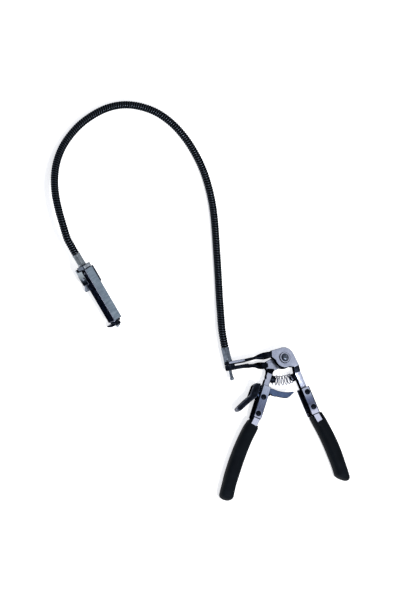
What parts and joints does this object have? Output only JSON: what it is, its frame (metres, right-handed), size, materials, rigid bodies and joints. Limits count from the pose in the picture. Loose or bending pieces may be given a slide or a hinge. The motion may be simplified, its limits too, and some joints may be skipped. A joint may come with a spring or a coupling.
{
  "type": "remote hose clamp pliers",
  "caption": "Remote-action hose clamp pliers: crossing sprung handles with a ratchet lock pull a wire through a gooseneck hose to close a sliding jaw in a channel head.",
  "frame": {"origin": "middle of the flat back face of the pivot nut, with the tool lying on its back", "axes": "+Z along the pivot axis, out of the front of the tool; -Y down between the handles; +X towards the right handle, away from the jaws"},
  "size_m": [0.4207, 0.5292, 0.0334],
  "materials": {
    "plate_steel": "satin ground and plated flats",
    "black_oxide_steel": "black oxide, oiled",
    "blue_steel": "blued and brushed",
    "zinc_steel": "zinc plated",
    "spring_steel": "drawn wire",
    "dipped_vinyl": "matte dipped vinyl",
    "hose": "black wound gooseneck hose"
  },
  "bodies": {
    "right_half": {"bracket_rivet_left": "zinc_steel", "bracket_rivet_right": "zinc_steel", "cable_ferrule": "zinc_steel", "end_cap_pin": "zinc_steel", "fixed_jaw_bracket": "black_oxide_steel", "handle_spring": "spring_steel", "head_channel": "blue_steel", "head_end_cap": "black_oxide_steel", "head_ferrule": "zinc_steel", "inner_wire": "spring_steel", "lock_catch": "blue_steel", "pivot_bolt": "black_oxide_steel", "pivot_nut": "zinc_steel", "pivot_washer": "zinc_steel", "return_spring": "spring_steel", "right_grip": "dipped_vinyl", "right_handle_rivet_1": "black_oxide_steel", "right_handle_rivet_2": "black_oxide_steel", "right_handle_shell": "plate_steel", "right_packing_strip": "black_oxide_steel", "right_spring_seat": "black_oxide_steel", "sheath": "hose", "upper_jaw_arm": "plate_steel"},
    "left_half": {"lower_jaw_arm": "plate_steel", "left_handle_shell": "plate_steel", "lock_pivot_pin": "black_oxide_steel", "left_handle_rivet": "black_oxide_steel", "left_packing_strip": "black_oxide_steel", "left_grip": "dipped_vinyl", "left_spring_seat": "black_oxide_steel", "lock_spring": "spring_steel", "pull_wire": "spring_steel", "wire_end_rod": "zinc_steel", "wire_clamp_screw": "black_oxide_steel"},
    "lock": {"lock_quadrant": "blue_steel", "lock_thumb_lever": "black_oxide_steel", "lock_lever_rivet": "zinc_steel"},
    "swivel": {"swivel_jaw": "zinc_steel", "swivel_clip": "spring_steel"},
    "moving_jaw": {"jaw_slider": "black_oxide_steel", "moving_jaw_foot": "black_oxide_steel", "foot_screw": "zinc_steel", "head_wire": "spring_steel", "wire_nipple": "zinc_steel"}
  },
  "joints": [
    {"name": "handle_hinge", "type": "hinge", "parent": "right_half", "child": "left_half", "pos_m": [0, 0, 0], "axis": [0, 0, 1], "range_deg": [0, 23.5], "stiffness_Nm_per_rad": 2, "springref_deg": -2.86, "deforming": ["handle_spring", "pull_wire"]},
    {"name": "jaw_slide", "type": "slide", "parent": "right_half", "child": "moving_jaw", "axis": [-0.5661, 0.8206, 0.0785], "range_m": [0, 0.0325], "deforming": ["return_spring"]},
    {"name": "lock_hinge", "type": "hinge", "parent": "left_half", "child": "lock", "pos_m": [-0.03092, -0.05567, 0.01], "axis": [0, 0, 1], "range_deg": [0, 9], "stiffness_Nm_per_rad": 0.2, "springref_deg": -5.73, "deforming": ["lock_spring"]},
    {"name": "jaw_swivel", "type": "hinge", "parent": "right_half", "child": "swivel", "pos_m": [-0.2737, 0.07725, 0.00681], "axis": [0.5661, -0.8206, -0.0785], "continuous": true}
  ],
  "couplings": [
    {"joint": "jaw_slide", "follows": "handle_hinge", "m_per_rad": 0.078}
  ]
}
